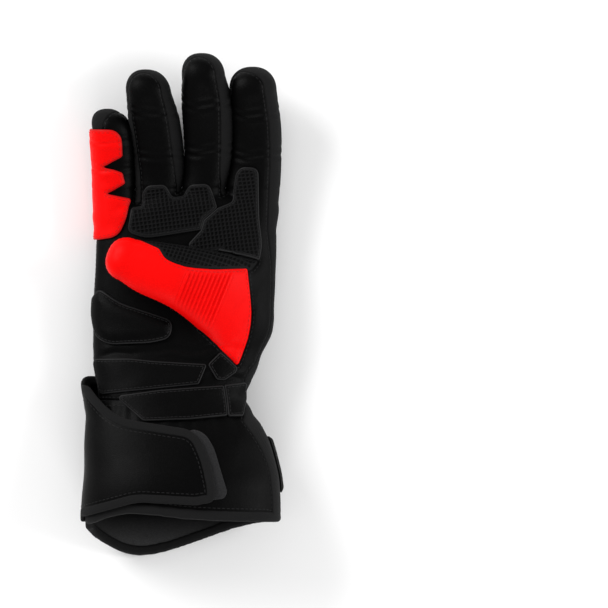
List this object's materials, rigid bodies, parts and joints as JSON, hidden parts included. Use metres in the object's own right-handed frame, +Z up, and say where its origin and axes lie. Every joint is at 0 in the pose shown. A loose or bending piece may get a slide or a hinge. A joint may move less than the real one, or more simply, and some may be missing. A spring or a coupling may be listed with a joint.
{
  "type": "leather motorcycle racing glove",
  "caption": "Long leather riding glove for the right hand, thumb folded over the palm, with grip patches, finger guard, wrist strap and a gauntlet cuff with a wrap-over flap.",
  "frame": {"origin": "centre of the bounding box on the floor that the glove lies on", "axes": "+Y to the fingertips, +X to the index finger's side, +Z up out of the palm"},
  "size_m": [0.1287, 0.3209, 0.0696],
  "materials": {
    "black_leather": "fine-grained black cowhide, half matt",
    "red_leather": "fine-grained bright red cowhide, half matt",
    "grey_cloth": "dark grey woven stretch cloth and edge tape",
    "grip": "rubbery grip print with a grid of round dimples",
    "hook_and_loop": "grey hook-and-loop pile",
    "lining": "grey brushed knit lining"
  },
  "bodies": {
    "root": {"palm_panel": "black_leather", "back_panel": "black_leather", "palm_heel_pad": "black_leather", "thumb_underside": "black_leather", "wrist_panel": "black_leather", "thumb_tab": "black_leather", "wrist_strap": "black_leather", "strap_anchor": "black_leather", "cuff_front_panel": "black_leather", "cuff_back_panel": "black_leather", "cuff_flap": "black_leather", "cuff_back_pad": "black_leather", "little_finger_guard": "red_leather", "thumb_back": "red_leather", "index_gusset": "grey_cloth", "middle_gusset": "grey_cloth", "ring_gusset": "grey_cloth", "little_gusset": "grey_cloth", "side_binding": "grey_cloth", "hem_binding": "grey_cloth", "flap_binding": "grey_cloth", "palm_grip_patch": "grip", "index_grip_patch": "grip", "thumb_grip_strip": "grip", "closure_strip": "hook_and_loop", "cuff_lining": "lining"}
  },
  "joints": []
}
